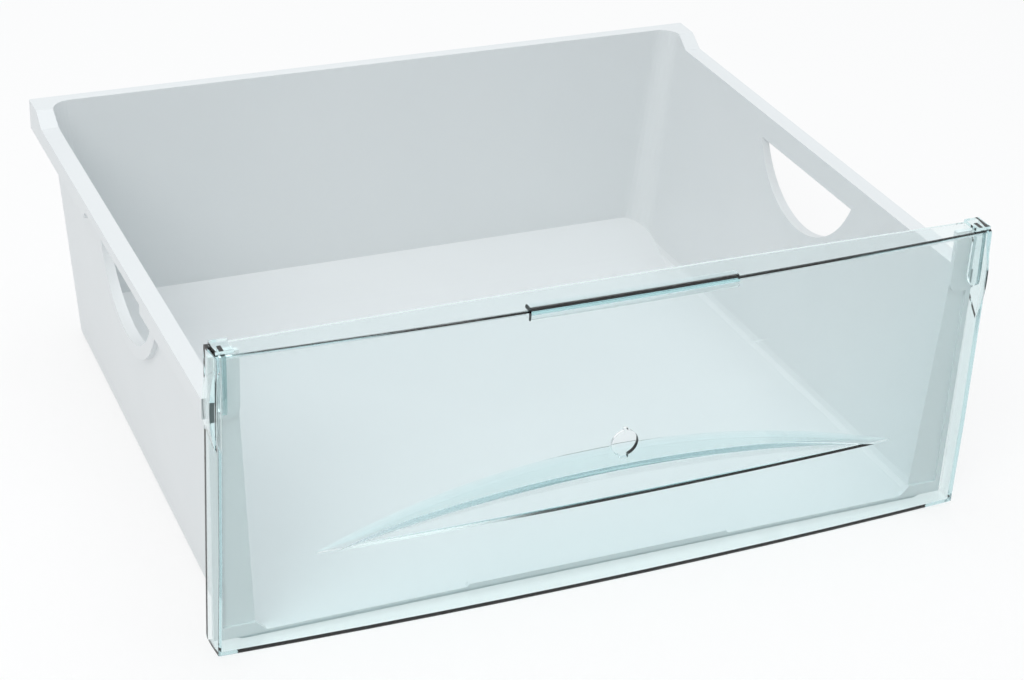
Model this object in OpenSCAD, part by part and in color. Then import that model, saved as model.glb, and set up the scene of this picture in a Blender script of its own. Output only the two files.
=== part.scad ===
// Freezer drawer: a moulded white tub and the clear front panel that clips over its open front.
// The tub has side rails it runs on, a raised rear rim, and a half-moon hand hole in each side.
// The panel is a bowed tray with two faint creases, an arched finger grip, a round badge hole
// and a label bar along its top edge.
// Axes: x to the right, y to the rear, z up. The tub stands on z = 0.

/* [Tub] */
// Width over the two side rails
tub_w = 458.6; // [400:0.1:520]
// Length from the panel's rear edge to the back of the rear rim
tub_l = 376.3; // [330:0.1:430]
// Height of the side rails above the underside
rail_z = 153; // [140:0.5:162]
// Height of the rear rim above the side rails
rim_rise = 7.5; // [4:0.5:12]
// Wall thickness of the tub
wall = 2.5; // [1.8:0.1:3]
// How far the foot of the side walls leans in at the front
draft_front = 7; // [3:0.5:9]
// How far the foot of the side walls leans in at the rear
draft_rear = 12; // [5:0.5:14]
// Inside radius of the rear corners at the top
corner_top = 13; // [6:0.5:18]
// Inside radius of the rear corners at the floor
corner_foot = 19; // [8:0.5:24]
// Radius where the floor turns up into the walls
floor_fillet = 5; // [3:0.5:8]
// How far forward of the back wall the floor starts to rise
sweep_l = 51; // [30:1:70]
// Height that the floor has risen by at the back wall
sweep_h = 16.2; // [8:0.2:22]

/* [Rails and rim] */
// Width of the flat top of each side rail
rail_w = 10.2; // [8:0.1:14]
// Depth of the turned-down skirt of the rails and the rear rim
skirt_h = 12; // [9:0.5:16]
// Width of the flat top of the rear rim
rim_w = 8.2; // [7:0.1:12]
// Length of the raised block at the rear end of each rail
block_l = 18.8; // [12:0.1:30]
// Length of the ramp up to that block
ramp_l = 12.5; // [6:0.5:20]
// How far the skirt is cut back above the hand holes
relief_h = 5.5; // [3:0.5:7]

/* [Hand holes] */
// Distance of the hand hole's front corner from the panel's rear edge
hand_y = 117.4; // [90:0.1:150]
// Width of the hand hole along its straight top edge
hand_w = 113.8; // [90:0.1:130]
// Height of the half-moon from its lowest point to its straight edge
hand_h = 39.6; // [30:0.1:46]
// Distance of the straight edge below the rail's top
hand_drop = 16; // [14:0.5:24]
// Width of the raised collar round the curved edge
collar_w = 8; // [4:0.5:12]
// How far the collar's face stands outside the top of the wall
collar_out = 1; // [0.4:0.1:2]

/* [Front frame of the tub] */
// Thickness of the frame that the panel closes on
frame_t = 3; // [2:0.1:4]
// How far the frame reaches in from the wall's inside face
frame_in = 9; // [5:0.5:12]
// Height of the sill across the front of the floor
sill_h = 6.5; // [5.5:0.1:9]
// How much higher the sill is in the middle
sill_step = 1.6; // [0.5:0.1:3]
// Half width of that higher part
sill_step_w = 80; // [40:1:120]
// Height of the ears above the rails
ear_h = 25; // [15:0.5:28]
// Width of the ears
ear_w = 14.5; // [10:0.5:18]
// Depth of the recessed strip down each side of the frame
strip_d = 1.5; // [0.5:0.1:2]
// Width of the frame's outer lip beside that strip
lip_w = 3.4; // [2:0.1:5]

/* [Front panel] */
// Width of the panel over its rear edge at the top
panel_w = 455; // [400:0.1:516]
// How much wider the panel is at its foot
panel_foot = 3.8; // [0:0.1:6]
// Height of the panel
panel_h = 182; // [175:0.5:200]
// Height of the panel's foot above the tub's underside
panel_z = 2; // [0.5:0.1:4]
// Depth of the panel's side flange at its top and foot
panel_d = 14.5; // [11:0.1:20]
// How much the flange spreads towards its rear edge
flare = 2.3; // [0:0.1:4]
// Thickness of the panel
skin = 2.5; // [1.8:0.1:3]
// How far the face bows forward between its two ends
bow = 6; // [3:0.1:10]
// How far the rear edge of the top flange bows back
back_bow = 2; // [0.5:0.1:4]
// How far the middle of the face stands in front of its top and bottom edges
belly = 1.6; // [0.5:0.1:3]
// Height of the upper crease
crease_top = 143; // [130:0.5:150]
// Height of the lower crease
crease_foot = 58.5; // [45:0.5:62]
// Radius of the panel's edges round the face
edge_r = 2; // [1:0.1:2.4]
// Radius of the panel's two lower corners
foot_r = 6; // [4:0.5:9]

/* [Panel details] */
// Length of the arched finger grip
grip_w = 327; // [240:1:360]
// Height of the arch
grip_h = 18.6; // [14:0.1:24]
// How steeply the scoop runs back, as depth over height
grip_slope = 0.92; // [0.6:0.01:0.95]
// Diameter of the badge hole
badge_d = 16; // [10:0.1:20]
// Height of the badge hole's centre
badge_z = 94; // [88:0.5:110]
// Width of the key slot below the badge hole
key_w = 5; // [3:0.1:7]
// Depth of that slot past the hole's edge
key_l = 1.6; // [1:0.1:3]
// Width of the notch above the badge hole
notch_w = 2.4; // [1.5:0.1:3]
// Length of the label bar
bar_w = 121; // [80:1:160]
// Height of the label bar
bar_h = 8; // [5:0.1:10]
// How far the label bar stands in front of the face
bar_out = 3; // [2:0.1:4]
// How far the label bar stands above the panel
bar_up = 3; // [1.5:0.1:4]
// Length of the raised pad at each end of the top edge
pad_w = 9.5; // [6:0.5:14]
// Height of that pad
pad_h = 1.8; // [0.8:0.1:3]
// Height of the clip tabs behind the face
tab_h = 31; // [20:0.5:34]
// Distance of the clip tabs from the middle
tab_x = 221; // [190:0.5:222]
// Thickness of the clip tabs
tab_t = 2.4; // [1.6:0.1:3]
// How far the side flange swells over the end of the rail
swell = 1.3; // [0.5:0.1:2]
// Height of that swelling
swell_h = 32; // [20:1:40]
// Clearance between the panel and the frame inside it
fit = 0.5; // [0.2:0.1:0.8]

/* [Hidden] */

round_fn = 96;
far_fn = 1440;
hull_fn = 32;
eps = 0.01;
past = 5;

// Half widths and places in the tub
rail_x = tub_w / 2;
wall_in = rail_x - rail_w;
wall_out = wall_in + wall;
rim_z = rail_z + rim_rise;
skirt_z = rail_z - skirt_h;
back_in = tub_l - rim_w;
back_out = back_in + wall;
back_draft = 0.9;
sweep_r = (sweep_l * sweep_l + sweep_h * sweep_h) / (2 * sweep_h);
sweep_y = back_in - back_draft - sweep_l;
pocket_lead = 13;
rim_corner = 4;

// The half-moon is a segment of a circle below its straight edge
hand_z = rail_z - hand_drop;
hand_r = (hand_w * hand_w / 4 + hand_h * hand_h) / (2 * hand_h);
hand_mid = hand_y + hand_w / 2;
relief_past = 9;

// The panel's middle lies furthest forward, at the front of a very large circle
half_top = panel_w / 2;
panel_top = panel_z + panel_h;
bow_r = (half_top * half_top + bow * bow) / (2 * bow);
face_y = -(panel_d + belly + bow);
half_back = half_top - flare - pad_w;
back_bow_r = (half_back * half_back + back_bow * back_bow) / (2 * back_bow);
side_lean = atan(panel_foot / 2 / panel_h);
side_flare = atan(flare / panel_d);
sweep_angle = 8;

// The frame and the ears stand inside the panel with a clearance
frame_x = half_top - skin - fit;
frame_z = panel_z + skin + fit;
ear_top = rail_z + ear_h;
ear_z = skirt_z + 7;

// The grip's arch is a segment of a circle above the lower crease
grip_r = (grip_w * grip_w / 4 + grip_h * grip_h) / (2 * grip_h);
grip_mid_z = crease_foot + grip_h - grip_r;

// The whole part is centred over its own footprint
front_y = face_y + belly - bar_out;
mid_y = (tub_l + front_y) / 2;

// Extrudes an outline drawn in x and z from y0 to y1
module run_y(y0, y1) {
    translate([0, y1, 0])
        rotate([90, 0, 0])
            linear_extrude(y1 - y0)
                children();
}

// Extrudes an outline drawn in y and z from x0 to x1
module run_x(x0, x1) {
    translate([x0, 0, 0])
        rotate([90, 0, 90])
            linear_extrude(x1 - x0)
                children();
}

// Draws a shape and its mirror image on the other side of the part
module both_sides() {
    children();
    mirror([1, 0, 0]) children();
}

// One pair of rear corner posts and front edges of a tub-shaped hull, at one height
module tub_level(z, front_x, rear_x, rear_y, front_y, corner) {
    for (side = [-1, 1]) {
        translate([side * (rear_x - corner), rear_y - corner, z])
            cylinder(r = corner, h = eps, $fn = hull_fn);
        translate([side * (front_x - eps) - eps, front_y, z])
            cube([2 * eps, eps, eps]);
    }
}

// The tapering body, grown by the wall or left as the space inside it
module tub_form(grow, foot_z, top_z, front_y) {
    lean_f = draft_front;
    lean_r = draft_rear;
    foot_f = wall_in + grow - lean_f;
    foot_r_x = wall_in + grow - lean_r;
    foot_y = back_in - back_draft + grow;
    small = floor_fillet * 0.3;
    hull() {
        tub_level(foot_z, foot_f - floor_fillet, foot_r_x - floor_fillet,
                  foot_y - floor_fillet, front_y, corner_foot + grow - floor_fillet);
        tub_level(foot_z + small, foot_f - small, foot_r_x - small,
                  foot_y - small, front_y, corner_foot + grow - small);
        tub_level(foot_z + floor_fillet, foot_f, foot_r_x,
                  foot_y, front_y, corner_foot + grow);
        tub_level(top_z, wall_in + grow, wall_in + grow,
                  back_in + grow, front_y, corner_top + grow);
    }
}

// Side view of the rails and the rear rim, lowered by a thickness and pulled in from both ends
module rail_side(lower, ends, foot) {
    polygon([
        [ends, foot],
        [tub_l - ends, foot],
        [tub_l - ends, rim_z - lower],
        [tub_l - block_l, rim_z - lower],
        [tub_l - block_l - ramp_l, rail_z - lower],
        [ends, rail_z - lower]
    ]);
}

// Everything the rails and the rim can fill, seen from the side
module below_rails() {
    run_x(-rail_x, rail_x)
        rail_side(0, -frame_t, -past);
}

// Rails, rear blocks and rear rim as one turned-down band
module band() {
    difference() {
        run_x(-rail_x, rail_x)
            rail_side(0, 0, skirt_z);
        run_x(wall - rail_x, rail_x - wall)
            rail_side(wall, wall, 0);
    }
}

// Part of the floor's rise that is left standing in the space inside the tub
module floor_rise() {
    run_x(-rail_x, rail_x)
        difference() {
            translate([sweep_y, 0])
                square([tub_l - sweep_y, wall + sweep_h + past]);
            translate([sweep_y, wall + sweep_r])
                circle(r = sweep_r, $fn = 4 * round_fn);
        }
}

// Hollow under the rising floor, between the skirts of the side and back walls
module foot_pocket() {
    intersection() {
        tub_form(0, -floor_fillet - past, rail_z, 0);
        run_x(-rail_x, rail_x)
            difference() {
                translate([sweep_y + pocket_lead, -past])
                    square([tub_l - sweep_y, past + sweep_h]);
                translate([sweep_y, wall + sweep_r])
                    circle(r = sweep_r + wall, $fn = 4 * round_fn);
            }
    }
}

// The half-moon in side view, grown by the collar's width for its outline
module half_moon(grow) {
    intersection() {
        translate([hand_mid, hand_z - hand_h + hand_r])
            circle(r = hand_r + grow, $fn = 2 * round_fn);
        translate([hand_y - grow - past, hand_z - hand_h - grow - past])
            square([hand_w + 2 * (grow + past), hand_h + grow + past]);
    }
}

// Raised collar on the outside of one side wall
module collar() {
    run_x(wall_in - draft_rear, wall_out + collar_out)
        half_moon(collar_w);
}

// Cut in the skirt of one rail, so that fingers reach the hand hole
module skirt_relief() {
    run_x(wall_out + collar_out + eps, rail_x + past) {
        translate([hand_y, skirt_z - past])
            square([hand_w - relief_h + relief_past, past + relief_h]);
        translate([hand_y + hand_w - relief_h + relief_past, skirt_z])
            circle(r = relief_h, $fn = round_fn);
    }
}

// Front frame in front view: two uprights with their ears, and the sill between them
module frame_outline() {
    difference() {
        union() {
            translate([-frame_x, frame_z])
                square([2 * frame_x, skirt_z - frame_z]);
            both_sides()
                translate([frame_x - ear_w, skirt_z - eps])
                    square([ear_w, ear_top - skirt_z]);
        }
        polygon([
            [-(wall_in - frame_in), ear_top],
            [-(wall_in - frame_in), skirt_z],
            [-(wall_in - frame_in - draft_front), sill_h + foot_r],
            [-(wall_in - frame_in - draft_front) + foot_r, sill_h],
            [-sill_step_w - sill_step, sill_h],
            [-sill_step_w, sill_h + sill_step],
            [sill_step_w, sill_h + sill_step],
            [sill_step_w + sill_step, sill_h],
            [wall_in - frame_in - draft_front - foot_r, sill_h],
            [wall_in - frame_in - draft_front, sill_h + foot_r],
            [wall_in - frame_in, skirt_z],
            [wall_in - frame_in, ear_top]
        ]);
    }
}

// Recessed strip on one upright, ending in a curve below the ear
module strip_outline() {
    difference() {
        translate([0, sill_h + foot_r])
            square([frame_x - lip_w, ear_z - sill_h - foot_r]);
        translate([frame_x - ear_w / 2, ear_z])
            circle(d = ear_w, $fn = round_fn);
    }
}

module front_frame() {
    difference() {
        run_y(-frame_t, 0)
            frame_outline();
        both_sides()
            run_y(-frame_t - past, strip_d - frame_t)
                strip_outline();
    }
}

// Riser that joins the floor to the sill of the frame
module sill() {
    translate([-(wall_in - draft_front), 0, 0])
        cube([2 * (wall_in - draft_front), wall, sill_h]);
}

module tub() {
    color([0.93, 0.95, 0.95])
        translate([0, -mid_y, 0]) {
            difference() {
                union() {
                    intersection() {
                        tub_form(wall, 0, rim_z, 0);
                        below_rails();
                    }
                    band();
                    both_sides() collar();
                }
                difference() {
                    tub_form(0, wall, rim_z + past, 0);
                    floor_rise();
                    sill();
                }
                foot_pocket();
                both_sides() {
                    run_x(0, rail_x - wall)
                        half_moon(0);
                    skirt_relief();
                }
            }
            front_frame();
        }
}

// Side view of the face, as depth behind its foremost line and height, pushed in by a thickness
module face_profile(inset, reach) {
    low = panel_z + inset;
    high = panel_top - inset;
    r = max(edge_r - inset, 0.2);
    d = belly + inset;
    polygon(concat(
        [[bow_r - reach, low]],
        [for (a = [0 : 22.5 : 90]) [bow_r - d - r + r * sin(a), low + r - r * cos(a)]],
        [[bow_r - inset, crease_foot], [bow_r - inset, crease_top]],
        [for (a = [0 : 22.5 : 90]) [bow_r - d - r + r * cos(a), high - r + r * sin(a)]],
        [[bow_r - reach, high]]
    ));
}

// Turns a side view about the far centre of the face's bow
module bowed() {
    translate([0, face_y + bow_r, 0])
        rotate([0, 0, -90 - sweep_angle / 2])
            rotate_extrude(angle = sweep_angle, $fn = far_fn)
                children();
}

// Everything between the two flared side planes, pushed in by a thickness
module between_sides(inset) {
    big = 2 * tub_l;
    intersection_for (side = [-1, 1])
        mirror([side < 0 ? 1 : 0, 0, 0])
            translate([half_top - inset, 0, panel_top])
                rotate([0, -side_lean, 0])
                    rotate([0, 0, -side_flare])
                        translate([-2 * big, -big, -big])
                            cube([2 * big, 2 * big, 2 * big]);
}

// What is behind the panel's rear edge, which is straight but for the top flange
module behind_panel() {
    difference() {
        translate([-tub_w, 0, -past])
            cube([2 * tub_w, tub_l, panel_top + 2 * past]);
        translate([0, back_bow - back_bow_r, panel_top - skin])
            cylinder(r = back_bow_r, h = 2 * past, $fn = far_fn);
    }
}

module panel_blank(inset, reach) {
    intersection() {
        bowed() face_profile(inset, reach);
        between_sides(inset);
    }
}

// Swelling of one side flange over the end of the rail, or the space inside it
module flange_swell(inset) {
    swell_r = (swell_h * swell_h / 4 + swell * swell) / (2 * swell);
    mid_z = rail_z - wall;
    intersection() {
        translate([half_top + swell - swell_r, 0, mid_z])
            rotate([90, 0, 0])
                cylinder(r = swell_r - inset, h = panel_d - edge_r, $fn = 8 * round_fn);
        translate([half_top - skin - inset - swell, -panel_d, mid_z - swell_h])
            cube([skin + 2 * swell, panel_d, 2 * swell_h]);
    }
}

// Scoop of the finger grip: an arch in front view, running back from the lower crease
module grip(grow) {
    rise = grip_h + grow + past;
    back = grow * sqrt(1 + grip_slope * grip_slope);
    intersection() {
        bowed()
            polygon([
                [bow_r + past, crease_foot],
                [bow_r - back, crease_foot],
                [bow_r - back - grip_slope * rise, crease_foot + rise],
                [bow_r + past, crease_foot + rise]
            ]);
        run_y(face_y - 3 * past, 0)
            translate([0, grip_mid_z])
                circle(r = grip_r + grow, $fn = 12 * round_fn);
    }
}

// Badge hole with its key slot and notch, in front view
module badge_outline() {
    translate([0, badge_z])
        circle(d = badge_d, $fn = round_fn);
    translate([-key_w / 2, badge_z - badge_d / 2 - key_l])
        square([key_w, badge_d / 2 + key_l]);
    translate([-notch_w / 2, badge_z])
        square([notch_w, badge_d / 2 + key_l]);
}

// Label bar that wraps the panel's top front edge
module label_bar() {
    r = bar_out;
    low = panel_top + bar_up - bar_h;
    high = panel_top + bar_up;
    intersection() {
        bowed()
            polygon(concat(
                [[bow_r - belly - skin, low]],
                [for (a = [-90 : 15 : 0])
                    [bow_r - belly + r * cos(a), low + r + r * sin(a)]],
                [for (a = [0 : 15 : 90])
                    [bow_r - belly + r * cos(a), high - r + r * sin(a)]],
                [for (a = [90 : 15 : 180])
                    [bow_r - belly - skin + r * cos(a), high - r + r * sin(a)]],
                [[bow_r - belly - skin - r, panel_top - skin / 2],
                 [bow_r - belly - skin, panel_top - skin / 2]]
            ));
        translate([-bar_w / 2, face_y - past, 0])
            cube([bar_w, panel_d + bow, 2 * panel_top]);
    }
}

// Raised pad at one end of the top edge
module end_pad() {
    translate([half_top - flare - pad_w, edge_r - panel_d, panel_top - skin / 2])
        cube([pad_w, panel_d - edge_r, skin / 2 + pad_h]);
}

// Clip tab behind one end of the face, with a rounded foot
module clip_tab() {
    foot = panel_top - skin - tab_h - skin;
    tab_d = panel_d - frame_t - fit - skin / 2;
    run_x(tab_x - tab_t / 2, tab_x + tab_t / 2) {
        translate([-frame_t - fit - tab_d, foot + tab_d / 2])
            square([tab_d, panel_top - skin / 2 - foot - tab_d / 2]);
        translate([-frame_t - fit - tab_d / 2, foot + tab_d / 2])
            circle(d = tab_d, $fn = round_fn);
    }
}

// What lies outside the rounded lower corner on one side
module foot_corner() {
    x = half_top + panel_foot / 2 - foot_r;
    difference() {
        translate([x, -2 * panel_d, panel_z - past])
            cube([foot_r + past, 4 * panel_d, foot_r + past]);
        translate([x, 2 * panel_d, panel_z + foot_r])
            rotate([90, 0, 0])
                cylinder(r = foot_r, h = 4 * panel_d, $fn = round_fn);
    }
}

// The panel's outside as one block, with everything that stands out from it
module panel_outside() {
    difference() {
        panel_blank(0, 2 * panel_d + bow);
        behind_panel();
    }
    both_sides() {
        flange_swell(0);
        end_pad();
    }
    label_bar();
}

// The space behind the face, which the back of the grip stands in
module panel_inside() {
    difference() {
        union() {
            panel_blank(skin, 3 * panel_d + bow);
            both_sides() flange_swell(skin);
        }
        grip(skin);
    }
}

module front_panel() {
    color([0.72, 0.86, 0.88, 0.45])
        translate([0, -mid_y, 0])
            difference() {
                union() {
                    difference() {
                        panel_outside();
                        panel_inside();
                    }
                    both_sides() clip_tab();
                }
                grip(0);
                run_y(face_y - 3 * past, 0)
                    badge_outline();
                both_sides() foot_corner();
            }
}

tub();
front_panel();
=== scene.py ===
"""Dresses the freezer drawer: satin white tub, clear tinted front panel, pale studio."""
import math

import bpy
from mathutils import Matrix, Vector

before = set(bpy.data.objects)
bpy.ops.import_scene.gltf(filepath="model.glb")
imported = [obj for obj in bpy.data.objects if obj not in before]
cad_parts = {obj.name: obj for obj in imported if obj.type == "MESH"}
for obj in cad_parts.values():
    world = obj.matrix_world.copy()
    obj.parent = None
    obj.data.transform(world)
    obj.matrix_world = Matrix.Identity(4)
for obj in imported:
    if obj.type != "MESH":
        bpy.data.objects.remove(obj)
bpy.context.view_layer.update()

MM = 0.001

# Camera of the photograph: place in metres, angles in degrees, focal length in pixels
CAMERA_PLACE = (-0.50172, -1.13856, 0.74559)
CAMERA_AZIMUTH = 24.65
CAMERA_DOWN = 29.08
CAMERA_ROLL = -2.99
FOCAL_PIXELS = 2304.77
IMAGE_WIDTH = 1024
SENSOR = 36.0


class Nodes:
    """Small helper that adds and links shader nodes."""

    def __init__(self, tree):
        self.tree = tree
        tree.nodes.clear()

    def add(self, kind, **values):
        node = self.tree.nodes.new(kind)
        for key, value in values.items():
            setattr(node, key, value)
        return node

    def link(self, out, into):
        self.tree.links.new(out, into)

    def math(self, operation, a, b=None, clamp=False):
        node = self.add("ShaderNodeMath", operation=operation, use_clamp=clamp)
        for socket, value in zip(node.inputs, (a, b)):
            if value is None:
                continue
            if isinstance(value, (int, float)):
                socket.default_value = value
            else:
                self.link(value, socket)
        return node.outputs[0]


def camera_and_view():
    """Places the camera at the photograph's angle."""
    az = math.radians(CAMERA_AZIMUTH)
    down = math.radians(CAMERA_DOWN)
    roll = math.radians(CAMERA_ROLL)
    ahead = Vector((math.sin(az) * math.cos(down), math.cos(az) * math.cos(down), -math.sin(down)))
    right = Vector((math.cos(az), -math.sin(az), 0.0))
    below = ahead.cross(right)
    right_rolled = math.cos(roll) * right + math.sin(roll) * below
    below_rolled = -math.sin(roll) * right + math.cos(roll) * below
    turn = Matrix((right_rolled, -below_rolled, -ahead)).transposed()
    data = bpy.data.cameras.new("camera")
    data.sensor_fit = "HORIZONTAL"
    data.sensor_width = SENSOR
    data.lens = FOCAL_PIXELS * SENSOR / IMAGE_WIDTH
    data.clip_start = 0.05
    data.clip_end = 50.0
    cam = bpy.data.objects.new("camera", data)
    bpy.context.scene.collection.objects.link(cam)
    cam.matrix_world = Matrix.Translation(Vector(CAMERA_PLACE)) @ turn.to_4x4()
    bpy.context.scene.camera = cam
    bpy.context.scene.view_settings.view_transform = "Standard"


def seen_directly(n):
    """1 for rays that look straight, by reflection or through clear plastic."""
    path = n.add("ShaderNodeLightPath")
    some = n.math("MAXIMUM", path.outputs["Is Camera Ray"], path.outputs["Is Glossy Ray"])
    return n.math("MAXIMUM", some, path.outputs["Is Transmission Ray"])


def studio():
    """White world and pale floor, with one broad lamp above and one from the left."""
    world = bpy.data.worlds.new("world")
    bpy.context.scene.world = world
    world.use_nodes = True
    n = Nodes(world.node_tree)
    shown = n.add("ShaderNodeBackground")
    shown.inputs["Color"].default_value = (1, 1, 1, 1)
    shown.inputs["Strength"].default_value = 1.0
    lit = n.add("ShaderNodeBackground")
    lit.inputs["Color"].default_value = (0.94, 0.97, 1.0, 1)
    lit.inputs["Strength"].default_value = WORLD_LIGHT
    mix = n.add("ShaderNodeMixShader")
    n.link(seen_directly(n), mix.inputs[0])
    n.link(lit.outputs[0], mix.inputs[1])
    n.link(shown.outputs[0], mix.inputs[2])
    out = n.add("ShaderNodeOutputWorld")
    n.link(mix.outputs[0], out.inputs["Surface"])

    size = 12.0
    mesh = bpy.data.meshes.new("floor")
    mesh.from_pydata([(-size, -size, 0), (size, -size, 0), (size, size, 0), (-size, size, 0)], [], [(0, 1, 2, 3)])
    floor = bpy.data.objects.new("floor", mesh)
    bpy.context.scene.collection.objects.link(floor)
    mat = bpy.data.materials.new("floor_white")
    mat.use_nodes = True
    n = Nodes(mat.node_tree)
    paint = n.add("ShaderNodeBsdfDiffuse")
    paint.inputs["Color"].default_value = (0.9, 0.9, 0.9, 1)
    glow = n.add("ShaderNodeEmission")
    glow.inputs["Color"].default_value = (1, 1, 1, 1)
    glow.inputs["Strength"].default_value = 1.0
    share = n.math("MULTIPLY", seen_directly(n), FLOOR_GLOW)
    mix = n.add("ShaderNodeMixShader")
    n.link(share, mix.inputs[0])
    n.link(paint.outputs[0], mix.inputs[1])
    n.link(glow.outputs[0], mix.inputs[2])
    out = n.add("ShaderNodeOutputMaterial")
    n.link(mix.outputs[0], out.inputs["Surface"])
    mesh.materials.append(mat)

    for name, place, aim, width, power, colour in LAMPS:
        data = bpy.data.lights.new(name, "AREA")
        data.shape = "SQUARE"
        data.size = width
        data.energy = power
        data.color = colour
        lamp = bpy.data.objects.new(name, data)
        lamp.location = place
        lamp.rotation_mode = "QUATERNION"
        lamp.rotation_quaternion = (Vector(aim) - Vector(place)).to_track_quat("-Z", "Y")
        lamp.visible_camera = False
        bpy.context.scene.collection.objects.link(lamp)


# Strength of the world's light on surfaces, and share of the floor's own white
WORLD_LIGHT = 0.62
FLOOR_GLOW = 0.75

# Lamps: name, place, aim, size in metres, watts, colour
LAMPS = (
    ("key", (-1.6, -1.3, 2.2), (0.0, 0.0, 0.1), 1.6, 26.0, (1.0, 0.99, 0.97)),
    ("top", (0.2, 0.3, 2.4), (0.0, 0.0, 0.0), 1.8, 18.0, (0.97, 0.99, 1.0)),
)


def tub_material(mat):
    """Satin white moulding: fine mould grain, faint clouding, slightly uneven gloss."""
    mat.use_nodes = True
    n = Nodes(mat.node_tree)
    place = n.add("ShaderNodeNewGeometry").outputs["Position"]

    cloud = n.add("ShaderNodeTexNoise")
    cloud.inputs["Scale"].default_value = 9.0
    cloud.inputs["Detail"].default_value = 3.0
    n.link(place, cloud.inputs["Vector"])
    tint = n.add("ShaderNodeMix", data_type="RGBA")
    tint.inputs["A"].default_value = (0.735, 0.765, 0.775, 1)
    tint.inputs["B"].default_value = (0.775, 0.800, 0.808, 1)
    n.link(cloud.outputs["Fac"], tint.inputs["Factor"])

    grain = n.add("ShaderNodeTexNoise")
    grain.inputs["Scale"].default_value = 1700.0
    grain.inputs["Detail"].default_value = 2.0
    n.link(place, grain.inputs["Vector"])
    flow = n.add("ShaderNodeTexNoise")
    flow.inputs["Scale"].default_value = 26.0
    flow.inputs["Detail"].default_value = 2.0
    n.link(place, flow.inputs["Vector"])
    wave = n.add("ShaderNodeBump")
    wave.inputs["Strength"].default_value = 0.25
    wave.inputs["Distance"].default_value = 0.4 * MM
    n.link(flow.outputs["Fac"], wave.inputs["Height"])
    bump = n.add("ShaderNodeBump")
    bump.inputs["Strength"].default_value = 0.12
    bump.inputs["Distance"].default_value = 0.06 * MM
    n.link(grain.outputs["Fac"], bump.inputs["Height"])
    n.link(wave.outputs["Normal"], bump.inputs["Normal"])

    rough = n.add("ShaderNodeMapRange")
    rough.inputs["To Min"].default_value = 0.34
    rough.inputs["To Max"].default_value = 0.46
    n.link(flow.outputs["Fac"], rough.inputs["Value"])

    skin = n.add("ShaderNodeBsdfPrincipled")
    skin.inputs["IOR"].default_value = 1.5
    skin.inputs["Subsurface Weight"].default_value = 0.0
    n.link(tint.outputs["Result"], skin.inputs["Base Color"])
    n.link(rough.outputs["Result"], skin.inputs["Roughness"])
    n.link(bump.outputs["Normal"], skin.inputs["Normal"])
    out = n.add("ShaderNodeOutputMaterial")
    n.link(skin.outputs[0], out.inputs["Surface"])


def panel_material(mat):
    """Clear moulding with a blue-green body colour that deepens where light runs along it."""
    mat.use_nodes = True
    n = Nodes(mat.node_tree)
    place = n.add("ShaderNodeNewGeometry").outputs["Position"]

    flow = n.add("ShaderNodeTexNoise")
    flow.inputs["Scale"].default_value = 14.0
    flow.inputs["Detail"].default_value = 2.0
    n.link(place, flow.inputs["Vector"])
    wave = n.add("ShaderNodeBump")
    wave.inputs["Strength"].default_value = 0.05
    wave.inputs["Distance"].default_value = 0.5 * MM
    n.link(flow.outputs["Fac"], wave.inputs["Height"])

    rough = n.add("ShaderNodeMapRange")
    rough.inputs["To Min"].default_value = 0.015
    rough.inputs["To Max"].default_value = 0.05
    n.link(flow.outputs["Fac"], rough.inputs["Value"])

    body = n.add("ShaderNodeBsdfPrincipled")
    body.inputs["Base Color"].default_value = (0.97, 0.99, 0.99, 1)
    body.inputs["IOR"].default_value = 1.5
    body.inputs["Transmission Weight"].default_value = 1.0
    n.link(rough.outputs["Result"], body.inputs["Roughness"])
    n.link(wave.outputs["Normal"], body.inputs["Normal"])

    clear = n.add("ShaderNodeBsdfTransparent")
    clear.inputs["Color"].default_value = (0.90, 0.945, 0.95, 1)
    path = n.add("ShaderNodeLightPath")
    mix = n.add("ShaderNodeMixShader")
    n.link(path.outputs["Is Shadow Ray"], mix.inputs[0])
    n.link(body.outputs[0], mix.inputs[1])
    n.link(clear.outputs[0], mix.inputs[2])

    inside = n.add("ShaderNodeVolumeAbsorption")
    inside.inputs["Color"].default_value = (0.30, 0.72, 0.76, 1)
    inside.inputs["Density"].default_value = 38.0
    out = n.add("ShaderNodeOutputMaterial")
    n.link(mix.outputs[0], out.inputs["Surface"])
    n.link(inside.outputs[0], out.inputs["Volume"])


camera_and_view()
studio()
tub_material(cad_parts["tub"].data.materials[0])
panel_material(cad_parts["front_panel"].data.materials[0])
